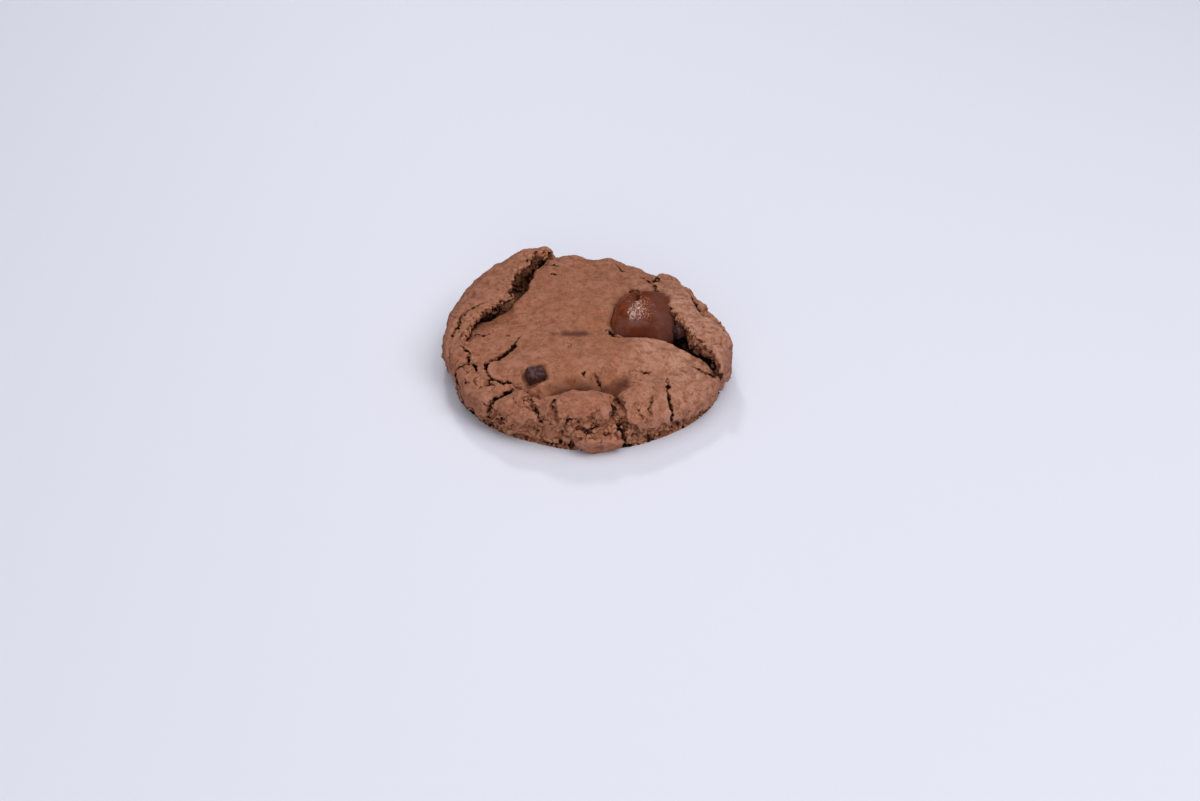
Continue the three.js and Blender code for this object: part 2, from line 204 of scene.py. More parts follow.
rightFlap = {
    "start": -28, "end": 57, "startFade": 4, "endFade": 3, "noise": 5.3,
    "undercut": [(-28, 1), (-20, 5), (36, 5), (46, 1.6), (57, 0.8)],
    "lipRadius": [(-28, 43.5), (-25, 42), (-20.8, 38.4), (-17, 33.7), (-11.4, 30.3), (-7, 28.8), (-3.5, 27.8),
                  (2, 26.4), (6.5, 25.5), (12, 24.6), (18.2, 24), (25, 23.8), (31, 24), (36, 25), (42.6, 27.4),
                  (47, 29.4), (51, 31.6), (55, 34), (57, 35.5)],
    "lipHeight": [(-28, 9), (-25, 12.5), (-20.8, 15.4), (-17, 16.4), (-11.4, 17), (0, 17.3), (18, 17.4),
                  (31, 17.1), (42.6, 16.2), (51, 15.0), (55, 14.5), (57, 14.2)],
    "fall": [(-28, 0.7), (2, 0.7), (20, 0.9), (40, 0.8), (57, 0.6)],
    "brink": [(38.4, -22), (37.6, -18.5), (36.4, -15), (34.5, -12.4), (31.6, -11.4), (28.8, -10.2),
              (25.4, -8.4), (22.7, -6.7), (19.6, -5.5), (19.3, 0), (20, 8), (20.8, 16), (22, 22), (24.5, 26),
              (29, 31)],
    "depth": [(-28, 0.6), (-25, 1.1), (-21, 1.9), (-17, 3.0), (-13, 4.6), (-4, 6), (6, 4.6), (18, 2.5),
              (30, 1.8), (45, 1.4), (53, 1.2), (57, 0.5)],
    "gap": [(-28, 0.4), (-25, 0.4), (-21, 0.6), (-17, 1.0), (-13, 2.0), (-9, 4.2), (-4, 5.4), (6, 4), (18, 2),
            (30, 1.2), (45, 0.8), (57, 0.5)],
}
flapCommon = {
    "brinkWidth": 1.6, "brinkRagged": [(0.8, 3.4, 8.8), (0.5, 1.4, 4.4)],
    "ragged": [(0.6, 9, 0), (0.9, 3.3, 3), (0.6, 1.3, 7)],      # height, width in degrees, shift
    "rootShare": 0.75, "thinnestLip": 1.1, "lipBack": 0.5, "faceHollow": 0.35, "lipRise": 0.35,
}


# distance past a line in plan, outwards from the middle
def beyond(path, x, y):
    best, out = np.full(len(x), 1e9), np.zeros(len(x))
    for (ax, ay), (bx, by) in zip(path, path[1:]):
        dx, dy = bx - ax, by - ay
        t = np.clip(((x - ax) * dx + (y - ay) * dy) / (dx * dx + dy * dy), 0, 1)
        away = np.hypot(x - ax - t * dx, y - ay - t * dy)
        closer = away < best
        best[closer] = away[closer]
        out[closer] = np.sign((y - ay) * -dx + (x - ax) * dy)[closer]
    return best * out


# sunken middle, gap, underside of the flap, broken lip, then out over the flap's top
def flapProfile(flap, angle, ring):
    rim, widest = rimAt(angle), dough["widestHeight"]
    rag = sum(rise * lineNoise(angle / width, flap["noise"] + shift)
              for rise, width, shift in flapCommon["ragged"])
    even = np.minimum(keyed(flap["lipRadius"], angle), rim - 1)
    lip = np.minimum(even + rag, rim - 1)
    root = np.minimum(lip + keyed(flap["undercut"], angle), np.maximum(rim - 4, lip + 0.8))
    height, depth = keyed(flap["lipHeight"], angle), keyed(flap["depth"], angle)
    east, north = np.cos(np.radians(angle)), np.sin(np.radians(angle))

    def pastBrink(r):
        at = np.c_[r * east, r * north, np.zeros(len(r))]
        return beyond(flap["brink"], at[:, 0], at[:, 1]) + layered(at, flapCommon["brinkRagged"])

    def floorHeight(r):
        return crustHeight(angle, r) - depth * ease(pastBrink(r), 0, flapCommon["brinkWidth"])

    lipFloor = floorHeight(lip)
    underLip = np.minimum(lipFloor + keyed(flap["gap"], angle), height - flapCommon["thinnestLip"])
    rootHeight = floorHeight(root) + flapCommon["rootShare"] * np.maximum(underLip - lipFloor, 0.3)
    inward = np.where(ring <= rings["plateau"], lip * ring / rings["plateau"],
                      lip + (root - lip) * between(ring, "plateau", "floor"))
    inward = np.minimum(inward, root)
    beneath, up = between(ring, "floor", "underside"), between(ring, "underside", "face")
    over = between(ring, "face", "top") * np.pi / 2
    power = keyed(flap["fall"], angle)
    front, evenFront = lip + flapCommon["lipBack"], even + flapCommon["lipBack"]
    steps = [ring <= rings["floor"], ring <= rings["underside"], ring <= rings["face"]]
    radius = np.select(steps, [inward, root + (front - root) * beneath,
                               front - flapCommon["faceHollow"] * np.sin(np.pi * up)],
                       front + (rim - front) * np.sin(over) ** power)
    outward = np.clip((radius - evenFront) / (rim - evenFront), 0, 1)     # no streaks from the ragged lip
    top = widest + (height - widest) * (1 - outward ** (2 / power)) ** (power / 2)
    top = top + flapCommon["lipRise"] * rag * (1 - ease(radius - lip, 0, 2))
    level = np.select(steps, [floorHeight(inward), rootHeight + (underLip - rootHeight) * beneath ** 0.6,
                              underLip + (top - underLip) * up], top)
    bare = np.where(ring <= rings["floor"], ease(pastBrink(inward), 0.6, 1.6),
                    1 - ease(ring, rings["face"] - 0.2, rings["face"] + 0.6))
    return radius, level, bare


def doughPlaces(angle, ring):
    radius, height = crustProfile(angle, ring / rings["top"])
    broken = np.zeros(len(angle))
    for flap in (backFlap, rightFlap):
        a = (angle - flap["start"]) % 360 + flap["start"]
        here = a < flap["end"]
        opened = ease(a, flap["start"], flap["start"] + flap["startFade"])
        opened = opened * (1 - ease(a, flap["end"] - flap["endFade"], flap["end"])) * here
        r, h, bare = flapProfile(flap, a[here], ring[here])
        opened = opened[here]
        drop = crustHeight(a[here], r) - h
        radius[here] += (r - radius[here]) * opened
        sunken = crustHeight(a[here], radius[here]) - drop * opened
        raised = height[here] + (h - height[here]) * opened
        height[here] = np.where(ring[here] <= rings["floor"], sunken, raised)
        broken[here] = np.maximum(broken[here], opened * bare)
    down = between(ring, "top", "side")
    below = ring > rings["top"]
    radius = np.where(below, rimAt(angle) - dough["baseInset"] * down ** 2.5, radius)
    height = np.where(below, dough["widestHeight"] * (1 - down), height)
    radius = np.where(ring > rings["side"], radius * (rings["base"] - ring), radius)
    turn = np.radians(angle)
    return np.c_[radius * np.cos(turn), radius * np.sin(turn), height], broken


# a grid rolled into a closed ball: longitude round the cookie, latitude from the top's middle to the base's
rows = rings["base"] * dough["ringSteps"]
bpy.ops.object.select_all(action="DESELECT")
bpy.ops.mesh.primitive_grid_add(x_subdivisions=dough["segments"], y_subdivisions=rows, size=2)
cookie = bpy.context.object
cookie.name = "cookie_dough"
flat = readPlaces(cookie.data)
places, broken = doughPlaces((flat[:, 0] + 1) * 180, (1 - flat[:, 1]) / 2 * rings["base"])
writePlaces(cookie.data, places)
writeMask(cookie.data, "crumb", broken)
bpy.ops.object.mode_set(mode="EDIT")
bpy.ops.mesh.select_all(action="SELECT")
bpy.ops.mesh.remove_doubles(threshold=0.0005)
bpy.ops.mesh.normals_make_consistent(inside=False)
bpy.ops.object.mode_set(mode="OBJECT")
print("stage: dough profile", len(cookie.data.vertices))

waves = {"layers": [(0.7, 11, 3.7), (0.45, 4.6, 9.2), (0.18, 2.3, 5.6)], "middle": 0.65, "rim": 0.6}
swellings = [   # x, y, z, radius, height
    (-1, -19, 14.8, 9, 1.4), (-14, -17, 14.5, 8, 1.1), (17, -11, 14.5, 7, 1.0), (10, -15, 14.6, 5, 0.5),
    (-9, -36, 12, 4.5, 1.4), (-3, -34.5, 12.5, 5, 1.7), (4, -35, 12, 4.5, 1.6), (16, -28, 12, 5.5, 1.9),
    (-37, -8.5, 10.5, 3.6, 2.2), (-26, -17, 13, 5, 0.9), (-20, -31, 11, 5, 1.2), (-33, -19, 10, 4, 0.9),
    (3, -39, 4, 5.5, 1.5), (-16, 6, 15, 13, -0.7), (5.5, -24.5, 13.5, 4.5, -1.2), (8.5, -26, 13, 4, -1.4),
    (-22, -28, 12, 3, -0.9), (9, -33, 11.5, 2.4, -0.8), (-7, 38.5, 15.5, 4.0, 1.3), (-3.5, 37, 15.5, 2.4, 0.5),
    (0.8, 37.5, 15.5, 2.6, -0.7), (6, 38, 15.8, 3.6, 1.7), (11.5, 33.5, 15, 3, -0.9), (16, 31, 15, 3, 0.5),
    (23.5, 25.5, 15.5, 3.2, -0.9), (36.8, 12.5, 13.4, 3.4, 1.0), (38.5, 6, 13, 3, 0.7), (39.5, 11, 11, 2.6, 1.0),
    (41.5, 2, 11, 3.0, -2.0), (-40, -14, 6.5, 3.0, -1.8), (-39.5, -18.5, 4.5, 3, -1.6),
    (-37.5, -22.5, 2.5, 2.4, 1.2), (-35.5, -25.5, 2.5, 2.4, 1.2), (-33.5, -27.5, 3.5, 2.0, -1.0),
    (-3.5, -41, 7, 2.3, 1.2), (-27, -31, 2.5, 5, 0.9), (-20, -36, 2.5, 5, 0.9), (5, 3, 14.6, 4, -0.7),
    (14, -11.5, 14.5, 5, 0.8),
]
crease = {      # the fold behind the front roll: x, y, depth, then its width behind and before the line
    "path": [(-21, -24.6, 0.3), (-16, -29, 1.9), (-12.6, -32, 2.4), (-9.8, -32, 2.6), (-6.6, -30.5, 3.2),
             (-3, -29, 3.5), (1.2, -29.2, 3.5), (5.1, -29, 3.5), (9, -28.2, 3.3), (13, -26, 2.6),
             (17, -23.8, 1.5), (23, -23.4, 0.2)],
    "inner": 6.5, "outer": 1.6, "wobble": 0.7, "wobbleLength": 2.1,
    "notch": 2.6, "notchInner": 2.4, "notchOuter": 1.8,     # its steep bottom
}
crumbBand = {   # bare crumb under the ragged lower edge of the crust
    "edge": [(0, 3.8), (60, 4.6), (120, 5.0), (180, 4.0), (212, 4.4), (228, 4.6), (242, 5.8), (249, 9.0),
             (256, 10.8), (266, 11.7), (274, 12.0), (281, 11.6), (287, 9.8), (293, 6.6), (310, 5.2), (340, 4.2)],
    "recess": [(0, 1.6), (235, 1.6), (250, 2.2), (285, 2.0), (300, 1.6)],
    "ragged": [(2.2, 7, 2.5), (1.6, 2.6, 6.1)],             # height, width in degrees, shift
    "frayed": [(0.8, 1.6, 12.4)], "lumpy": [(1.7, 4.4, 1.3)],
    "crustLump": {"at": (4, -41, 3.0), "size": (7.5, 6, 3.4)},      # crust again, low at the front
    "crag": {"at": (37.5, 7.5, 13), "size": (3.6, 9.5, 4.5)},       # bare beyond the right flap's outer crack
    "cragShare": 0.75,
}


def creaseDepth(p):
    x, y, depths = np.array(crease["path"], float).T
    line = np.interp(p[:, 0], x, y) + crease["wobble"] * lineNoise(p[:, 0] / crease["wobbleLength"], 4.4)
    deep = np.interp(p[:, 0], x, depths, left=0, right=0)
    behind = p[:, 1] - line
    valley = 1 - ease(np.abs(behind) / np.where(behind > 0, crease["inner"], crease["outer"]), 0, 1)
    close = 1 - np.abs(behind) / np.where(behind > 0, crease["notchInner"], crease["notchOuter"])
    notch = 1 - np.sqrt(1 - 0.96 * np.clip(close, 0, 1) ** 2)
    return deep * (valley + crease["notch"] / depths.max() * notch)


# 0 on the crust, 1 on the bare crumb
def crumbShare(p):
    angle, radius = polar(p)
    edge = around(crumbBand["edge"], angle) + layered(p, crumbBand["frayed"])
    for rise, width, shift in crumbBand["ragged"]:
        edge += rise * lineNoise(angle / width, shift)
    under = ease(radius, 30, 34) * ease(edge - p[:, 2], -0.2, 0.5)
    under *= ease(lumpShare(p, crumbBand["crustLump"]), 0.7, 1.1)
    crag = 1 - ease(lumpShare(p, crumbBand["crag"]), 0.5, 1.0)
    return np.maximum(under, crumbBand["cragShare"] * crag)


# waves, swellings, the front crease and the crumbly crags
p, n = readPlaces(cookie.data), readNormals(cookie.data)
angle, radius = polar(p)
out = layered(p, waves["layers"])
out *= waves["middle"] + waves["rim"] * ease(radius / rimAt(angle), 0.55, 0.85)
for x, y, z, r, h in swellings:
    out += h * np.exp(-((p - (x, y, z)) ** 2).sum(1) / r ** 2)
out -= np.where(n[:, 2] > 0.2, creaseDepth(p), 0)
bare = crumbShare(p)
out += (0.25 + 0.75 * bare) * layered(p, crumbBand["lumpy"]) * ease(radius, 33, 38)
out -= around(crumbBand["recess"], angle) * bare
out[p[:, 2] < 0.01] = 0
p = p + n * out[:, None]
p[:, 2] = np.maximum(p[:, 2], 0)
writePlaces(cookie.data, p)
writeMask(cookie.data, "crumb", np.maximum(readMask(cookie.data, "crumb"), bare))
voxel = dough["voxel"]
remesh(cookie, voxel)
print("stage: dough relief", len(cookie.data.vertices))

plates = {      # crazed crust of the shoulder: plate size, width and depth of the joints, step between plates
    "size": 6.6, "joint": 0.055, "depth": 0.8, "step": 0.75,
    "sway": [(2.2, 4, (11, 31, 71)), (0.6, 1.3, (17, 37, 77))],
    "strength": [(0, 0.7), (40, 0.5), (70, 0.35), (110, 0.35), (170, 0.4), (190, 0.9), (215, 1.0), (240, 1.0),
                 (262, 0.5), (285, 0.8), (300, 0.7), (312, 0.35), (340, 0.4)],
}
cracks = [      # places, gape, depth, how open each end stays
    ([(-18.4, -3.6, 14), (-21.1, -8.3, 13.9), (-24.8, -12.8, 13.7), (-27.5, -14.9, 13.4), (-28.7, -16.5, 13),
      (-28.4, -19.2, 12.8), (-26.8, -22.7, 12.4)], 2.6, 3.6, (0.1, 0.25)),
    ([(-35.9, -7.1, 13.3), (-34.1, -3.6, 13), (-31.3, -1.6, 13), (-29.5, -2.4, 13), (-27.9, -0.8, 13.2)],
     0.7, 1.3, (0.3, 0.3)),
    ([(-39.1, -5.6, 14.5), (-37.9, -2.8, 15.2), (-37.2, 0.4, 16.2), (-36.5, 2.3, 17), (-34.5, 4.1, 17.2),
      (-32.3, 6.1, 17.7), (-29.6, 8.3, 18)], 1.3, 2.2, (1.0, 0.1)),
    ([(-36, -8.5, 13.2), (-34.4, -11.1, 12.6), (-34.4, -13, 12), (-34.7, -15, 11.7), (-36.5, -15.6, 10.4),
      (-38.4, -16.2, 9.5)], 1.6, 3.0, (0.2, 0.8)),
    ([(-33.6, -14.9, 11.8), (-32.2, -16.5, 11.8), (-30.4, -20.2, 11.9)], 1.0, 1.6, (0.3, 0.2)),
    ([(-29.5, -25.6, 10.3), (-28.7, -24.5, 10.9), (-27.6, -23.8, 11.1), (-26.3, -22.6, 11.6)], 0.8, 1.4, (0.3, 0.3)),
    ([(-27.1, -23, 11.9), (-24.2, -24.4, 12.7), (-21.9, -24.3, 13), (-19.5, -26.7, 13.1)], 1.0, 1.6, (0.5, 0.5)),
    ([(-38.1, -16.8, 9.2), (-36.8, -18.8, 9.3), (-36.1, -22.3, 7), (-34.3, -26, 3)], 1.4, 2.4, (0.8, 0.8)),
    ([(-21.4, -27.4, 12.6), (-22.4, -28.2, 12.2), (-23.6, -29, 11.6)], 2.9, 3.2, (0.8, 0.6)),
    ([(-23.4, -28.8, 11.8), (-25, -29.9, 10.5), (-26.5, -31, 7), (-27.3, -31.5, 3)], 1.5, 2.0, (0.8, 0.5)),
    ([(-15.7, -30.7, 12), (-14.8, -33.6, 11.6), (-13.6, -36, 10.8), (-12.5, -38.5, 9)], 1.2, 1.2, (0.4, 0.8)),
    ([(-3.8, -39.7, 6.9), (-1.4, -40.4, 8.4), (0.8, -41, 8), (3.3, -38.9, 8.3), (5.2, -38.4, 8.3)],
     0.9, 1.2, (0.5, 0.4)),
    ([(2.7, -21.4, 15.2), (3.3, -24.7, 13.8), (4.5, -27.5, 12.6), (7.3, -28.4, 12.2)], 1.0, 1.1, (0.1, 0.9)),
    ([(-12.6, -31.4, 12), (-9.8, -31.3, 12), (-6.6, -29.7, 12), (-3, -28.3, 11.8), (1.2, -28.5, 11.8),
      (5.1, -28.3, 11.8), (8.4, -27.8, 12)], 1.2, 1.3, (0.1, 0.6)),
    ([(7.6, -28, 12.4), (8.2, -30.3, 12.4), (9, -32.5, 12), (10.2, -36, 11), (11, -39.5, 8)], 3.4, 1.7, (0.7, 0.6)),
    ([(22.2, -20.5, 13), (22.8, -22.6, 12.8), (23.1, -25.9, 12.4), (23.5, -31, 10.6), (24, -33, 9.3),
      (25.6, -34.5, 6)], 1.1, 1.4, (0.15, 0.9)),
    ([(17.6, -29.1, 13.4), (18.4, -31.9, 12.6), (17.8, -33.9, 11.3), (17.6, -36.3, 10)], 0.6, 0.6, (0.1, 0.6)),
    ([(9.1, -38.9, 9.1), (10.2, -39.6, 6), (11.9, -39.5, 3)], 1.2, 1.9, (0.6, 0.6)),
    ([(12.3, -21, 14.1), (15.1, -20.4, 14), (18.5, -20.3, 13.8), (20.8, -20.5, 13.5)], 0.7, 0.5, (0.2, 0.2)),
    ([(-13.7, 33.3, 15.2), (-11.1, 31.8, 15.4), (-8.7, 31.4, 15.4)], 1.4, 2.0, (0.9, 0.2)),
    ([(30.6, 19.5, 15), (31.9, 16.3, 15.2), (32.8, 12.5, 15), (33.6, 8.7, 15), (34.8, 5.1, 15.2), (37, 1.6, 15),
      (39.2, -1.5, 14)], 2.4, 2.6, (0.8, 0.5)),
    ([(4.6, -1.9, 14.6), (5.9, -1.1, 14.7), (6.9, -1.9, 14.6), (7.7, -3.7, 14.6), (8.9, -5.4, 14.6)],
     2.4, 2.6, (0.3, 0.4)),
    ([(12.6, 19.6, 15.2), (13.6, 20.3, 15.2), (14.8, 19.9, 15.2)], 2.2, 2.4, (0.7, 0.7)),
    ([(-22.9, -2.6, 14), (-22.3, -3.1, 14)], 0.9, 1.2, (0.6, 0.6)),
    ([(-0.6, -24.2, 14.4), (-0.2, -22.6, 14.8)], 0.7, 0.9, (0.6, 0.3)),
    ([(-4.9, -10.8, 15), (-4.2, -10.3, 15)], 0.8, 1.0, (0.6, 0.6)),
    ([(-12.1, 27.4, 15), (-9, 26, 15)], 0.6, 0.5, (0.2, 0.2)),
    ([(8.6, 35.4, 16), (10.2, 34.2, 15.6), (12.2, 33.6, 15.4)], 1.5, 2.0, (0.7, 0.5)),
    ([(17.2, 29, 15.2), (18.6, 27.4, 15.2), (19.2, 25.6, 15.2)], 1.2, 1.8, (0.6, 0.6)),
    ([(14.2, -33.4, 11), (14.8, -35.4, 9.8), (16, -37, 8)], 0.7, 0.9, (0.2, 0.6)),
    ([(-7.5, -38.6, 10.6), (-4.5, -39.2, 10.9), (-1.5, -39.4, 10.8), (1.2, -39.3, 11)], 0.6, 0.5, (0.3, 0.3)),
]
crackShape = {
    "sway": [(0.75, 2.6, 7.1), (0.5, 0.9, 3.3)],        # reach, size, shift from crack to crack
    "halfWidth": 0.36, "uneven": 0.8, "unevenLength": 0.24, "narrowest": 0.08, "fade": 0.4,
    "curl": 0.18, "dip": 0.30,      # the crust's edge lifts a little, and rolls over into the crack
}


# distance from the joints of a cell pattern, and a level for each cell
def cells(w):
    apart, level = np.empty(len(w)), np.empty(len(w))
    for i, v in enumerate(w.tolist()):
        distances, middles = noise.voronoi(v)
        apart[i] = distances[1] - distances[0]
        level[i] = noise.cell_vector(middles[0] * 7.3)[0]
    return apart, level


# plates of crust with open joints between them, on the shoulder
def craze(p, n, broken):
    moved, mask = p.copy(), broken.copy()
    angle, radius = polar(p)
    strength = around(plates["strength"], angle) * ease(radius / rimAt(angle), 0.72, 0.86)
    strength = strength * ease(p[:, 2], 2, 5) * (1 - broken) * ease(n[:, 2], -0.3, 0.0)
    here = np.where(strength > 0.02)[0]
    q = p[here]
    apart, level = cells(swayed(q, plates["sway"]) / plates["size"])
    width = plates["joint"] * np.maximum(0.35 + 2.6 * noiseAt(q, 5, 5.0), 0.02)
    parted = 1 - ease(apart, 0, width)
    out = plates["step"] * (level - 0.5) * ease(apart, 0, 0.25) - plates["depth"] * parted
    moved[here] += n[here] * (out * strength[here])[:, None]
    mask[here] = np.maximum(mask[here], 0.6 * parted * strength[here])
    return moved, mask


def crustNormal(p):
    angle, radius = polar(p)
    radius = np.maximum(radius, 1e-6)
    lean = 1.4 * ease(radius / rimAt(angle), 0.72, 1.0)
    n = np.c_[p[:, 0] / radius * lean, p[:, 1] / radius * lean, np.ones(len(p))]
    return n / np.linalg.norm(n, axis=1)[:, None]


def smoothPath(places, step=0.25):
    p = np.array(places, float)
    p = np.vstack([2 * p[0] - p[1], p, 2 * p[-1] - p[-2]])
    out = []
    for a, b, c, d in zip(p, p[1:], p[2:], p[3:]):
        t = np.linspace(0, 1, max(2, int(np.linalg.norm(c - b) / step)), endpoint=False)[:, None]
        bent = (2 * a - 5 * b + 4 * c - d) * t ** 2 + (3 * b - a - 3 * c + d) * t ** 3
        out.append(0.5 * (2 * b + (c - a) * t + bent))
    return np.vstack(out + [p[-2:-1]])


# each place moved up or down to the outermost crust there
def onCrust(path, up, p):
    out = path.copy()
    for i in range(len(path)):
        d = p - path[i]
        rise = d @ up[i]
        away = (d * d).sum(1) - rise * rise
        here = rise[(away < 0.5) & (np.abs(rise) < 4)]
        out[i] += up[i] * (here.max() if len(here) else 0)
    return out


def carveCracks(p, broken):
    moved, mask = p.copy(), broken.copy()
    fade = crackShape["fade"]
    for number, (places, gape, depth, ends) in enumerate(cracks):
        path = smoothPath(places)
        along = np.linspace(0, 1, len(path))
        up = crustNormal(path)
        path = onCrust(path, up, p)
        near = np.where((np.abs(p - path.mean(0)) < np.ptp(path, axis=0) / 2 + 5).all(axis=1))[0]
        w = swayed(p[near], [(reach, size, (shift * number, shift * number + 50))
                             for reach, size, shift in crackShape["sway"]])
        best, which = np.full(len(w), 1e9), np.zeros(len(w), int)
        for i in range(len(path)):
            d = w - path[i]
            rise = d @ up[i]
            away = np.sqrt(np.maximum((d * d).sum(1) - rise * rise, 0)) + np.maximum(np.abs(rise) - 2.5, 0) * 2
            closer = away < best
            best[closer], which[closer] = away[closer], i
        opening = ends[0] + (1 - ends[0]) * ease(along, 0, fade)
        closing = ends[1] + (1 - ends[1]) * ease(1 - along, 0, fade)
        uneven = lineNoise(along * len(path) * crackShape["unevenLength"], number * 5.1)
        half = crackShape["halfWidth"] * gape * opening * closing * (1 + crackShape["uneven"] * uneven)
        half = half[which] + crackShape["narrowest"]
        deep = (depth * opening * closing)[which]
        cut = 1 - ease(best / half, 0.35, 1.15)
        curl = crackShape["curl"] * np.exp(-((best - half - 0.9) / 0.7) ** 2) * np.minimum(deep / 2, 1)
        dip = crackShape["dip"] * deep * np.exp(-(best / (1.1 + 0.9 * gape)) ** 2)
        moved[near] += up[which] * (curl - dip - deep * cut)[:, None]
        mask[near] = np.maximum(mask[near], ease(cut, 0.06, 0.3))
    return moved, mask


# seat: how far the crust sinks where it meets the piece
chunk = {
    "at": (16.9, 6.1, 11.6), "half": (10.1, 13.6, 6.2), "turn": (3, -2, -7), "planPower": 2.5, "power": 2.3,
    "segments": 180, "rings": 100, "seat": 1.1,
    "groove": {"x": -2.7, "end": 3, "width": 0.7, "depth": 1.6, "fade": 3},
}
frontChip = {
    "at": (-14.3, -23.3, 13.5), "half": (2.5, 2.4, 2.0), "turn": (10, 12, 22), "planPower": 6.5, "power": 5.5,
    "segments": 64, "rings": 40, "seat": 1.3,
}
rightChip = {
    "at": (26.9, -0.8, 14.0), "half": (1.8, 2.0, 1.7), "turn": (30, 28, 35), "planPower": 4.5, "power": 4.5,
    "segments": 40, "rings": 26,
}


def turnOf(shape):
    return np.array(Euler(np.radians(shape["turn"]).tolist(), "ZYX").to_matrix())


# 1 on the skin of a rounded block of half size 1, more outside it
def blockShare(p, shape):
    q = np.abs(p)
    plan = (q[:, 0] ** shape["planPower"] + q[:, 1] ** shape["planPower"]) ** (shape["power"] / shape["planPower"])
    return (plan + q[:, 2] ** shape["power"]) ** (1 / shape["power"])


# about how far a place is from a chocolate piece's skin
def fromChocolate(p, shape):
    q = (p - shape["at"]) @ turnOf(shape) / shape["half"]
    return (blockShare(q, shape) - 1) * shape["half"][0]


p, mask = craze(readPlaces(cookie.data), readNormals(cookie.data), readMask(cookie.data, "crumb"))
p, mask = carveCracks(p, mask)
for shape in (chunk, frontChip):
    sunk = shape["seat"] * np.exp(-(fromChocolate(p, shape) / 0.8) ** 2)
    p[:, 2] -= np.where(p[:, 2] > 9, sunk, 0)
p[:, 2] = np.maximum(p[:, 2], 0)
writePlaces(cookie.data, p)
writeMask(cookie.data, "crumb", mask)
print("stage: cracks", len(cookie.data.vertices))

crumb = {
    "block": 2.3, "step": 0.75, "joint": 0.16, "jointDepth": 0.55,
    "sway": [(0.8, 2.2, (21, 41, 61)), (0.35, 0.8, (23, 43, 63))],
    "grain": 0.9, "grainHeight": 0.16, "fine": [(0.12, 0.5, 8.1)], "pit": 1.8, "pitDepth": 0.8,
    "loose": 170, "smallest": 0.3, "largest": 0.95, "mostlySmall": 2.2,
}
crustGrain = {"layers": [(0.12, 0.75, 2.2), (0.13, 1.8, 4.2)], "middle": 0.7, "rim": 0.7,
              "pit": 1.7, "pitDepth": 0.22}

# crumbs stuck on the broken faces, grown into the dough by the remesh
bpy.ops.object.select_all(action="DESELECT")
bpy.ops.mesh.primitive_ico_sphere_add(subdivisions=2, radius=1)
ball = bpy.context.object
ballPlaces = readPlaces(ball.data)
ballFaces = np.array([list(f.vertices) for f in ball.data.polygons])
bpy.data.objects.remove(ball)
p, n, mask = readPlaces(cookie.data), readNormals(cookie.data), readMask(cookie.data, "crumb")
rng = np.random.default_rng(dough["seed"])
spots = rng.choice(np.where((mask > 0.7) & (p[:, 2] > 0.8))[0], crumb["loose"], replace=False)
grown, faces = [], []
for spot in spots:
    radius = crumb["smallest"] + (crumb["largest"] - crumb["smallest"]) * rng.random() ** crumb["mostlySmall"]
    squash = radius * (0.75 + 0.5 * rng.random((1, 3)))
    bumps = 1 + 0.5 * noiseAt(ballPlaces + rng.random(3) * 50, 0.9)
    middle = p[spot] + n[spot] * radius * (0.45 * rng.random() - 0.25)
    faces.append(ballFaces + len(ballPlaces) * len(grown))
    grown.append(ballPlaces * bumps[:, None] * squash + middle)
crumbs = bpy.data.meshes.new("crumbs")
crumbs.from_pydata(np.vstack(grown).tolist(), [], np.vstack(faces).tolist())
writeMask(crumbs, "crumb", np.ones(len(crumbs.vertices)))
crumbObject = bpy.data.objects.new("crumbs", crumbs)
scene.collection.objects.link(crumbObject)
crumbObject.select_set(True)
cookie.select_set(True)
bpy.context.view_layer.objects.active = cookie
bpy.ops.object.join()
remesh(cookie, voxel)
print("stage: crumbs", len(cookie.data.vertices))

# a slight grain on the crust
p, n, mask = readPlaces(cookie.data), readNormals(cookie.data), readMask(cookie.data, "crumb")
angle, radius = polar(p)
pits = ease(noiseAt(p, crustGrain["pit"], 6.4), 0.48, 0.62) * ease(noiseAt(p, 9, 1.9), -0.15, 0.3)
out = layered(p, crustGrain["layers"]) - crustGrain["pitDepth"] * pits
out *= (crustGrain["middle"] + crustGrain["rim"] * ease(radius / rimAt(angle), 0.6, 0.85)) * (1 - mask)

# crumb lumps, grain and pits on the broken faces
rough = np.where(mask > 0.02)[0]
q = p[rough]
apart, level = cells(swayed(q, crumb["sway"]) / crumb["block"])
lump = crumb["step"] * (level - 0.5) * ease(apart, 0, 0.2)
lump -= crumb["jointDepth"] * (1 - ease(apart, 0, crumb["joint"]))
grain = crumb["grainHeight"] * (0.1 - noiseAt(q, crumb["grain"], 5.1, "VORONOI_F1"))
sunk = crumb["pitDepth"] * ease(noiseAt(q, crumb["pit"], 14.6), 0.22, 0.5)
out[rough] += mask[rough] * (lump + grain + layered(q, crumb["fine"]) - sunk)
out[p[:, 2] < 0.05] = 0
p = p + n * out[:, None]
p[:, 2] = np.maximum(p[:, 2], 0)
writePlaces(cookie.data, p)
print("stage: crumb")

thin = cookie.modifiers.new("thin", "DECIMATE")
thin.ratio = dough["mostTriangles"] / (2 * len(cookie.data.polygons))
bpy.ops.object.modifier_apply(modifier="thin")

